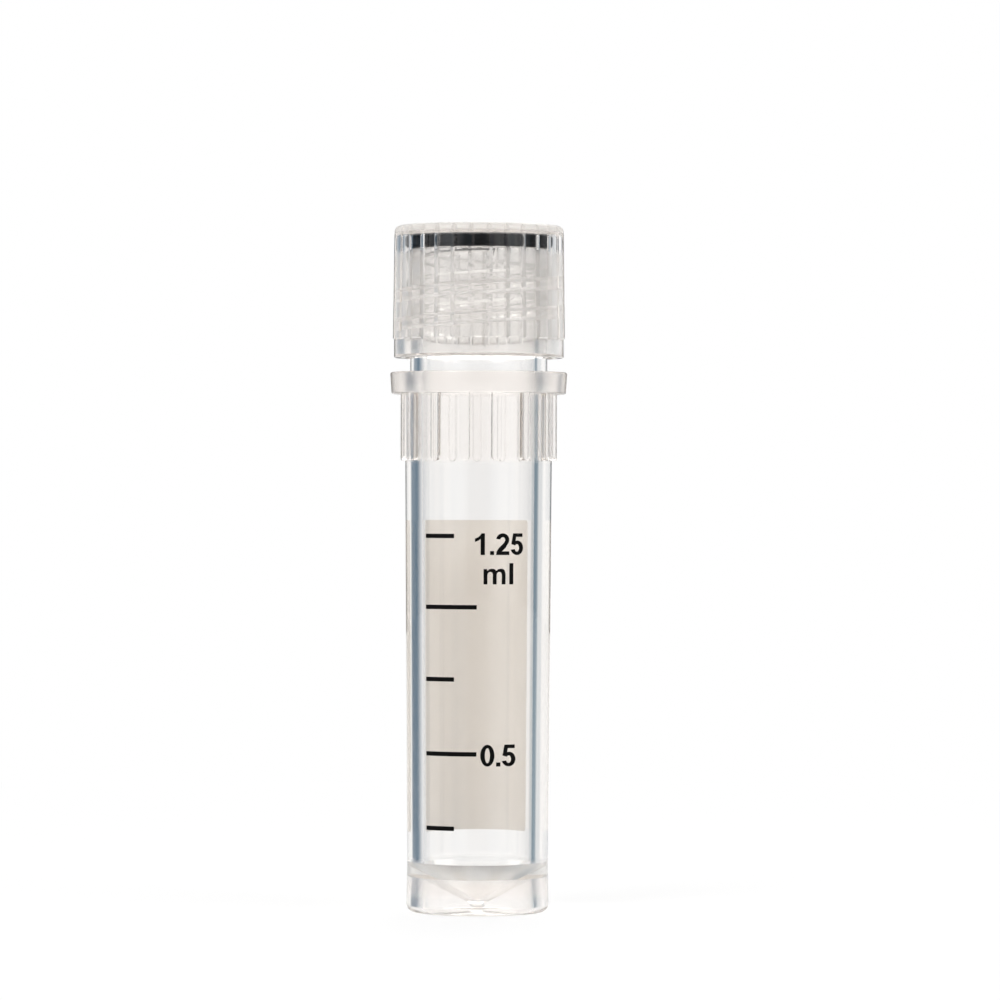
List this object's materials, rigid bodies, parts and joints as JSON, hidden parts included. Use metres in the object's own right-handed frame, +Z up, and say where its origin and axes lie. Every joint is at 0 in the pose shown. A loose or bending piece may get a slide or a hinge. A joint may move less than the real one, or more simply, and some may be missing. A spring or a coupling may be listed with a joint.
{
  "type": "cryovial",
  "caption": "Clear self-standing sample tube with a conical floor, ribbed collar and flange, closed by a knurled screw cap with a black sealing ring.",
  "frame": {"origin": "centre of the foot, on the surface the vial stands on", "axes": "+Z up along the tube's axis, -Y towards the front where the graduations are, +X to the right of the front"},
  "size_m": [0.0122, 0.0122, 0.0473],
  "materials": {
    "clear_plastic": "clear moulded polypropylene",
    "frosted_plastic": "natural translucent polypropylene",
    "black_rubber": "satin black silicone"
  },
  "bodies": {
    "tube": {"tube": "clear_plastic"},
    "ring_carrier": {"sealing_ring": "black_rubber"},
    "cap": {"screw_cap": "frosted_plastic"}
  },
  "joints": [
    {"name": "cap_lift", "type": "slide", "parent": "tube", "child": "ring_carrier", "axis": [0, 0, 1], "range_m": [0, 0.008]},
    {"name": "cap_turn", "type": "hinge", "parent": "ring_carrier", "child": "cap", "pos_m": [0, 0, 0.0382], "axis": [0, 0, 1], "range_deg": [0, 1440]}
  ],
  "couplings": [
    {"joint": "cap_turn", "follows": "cap_lift", "rad_per_m": 3141.6}
  ]
}
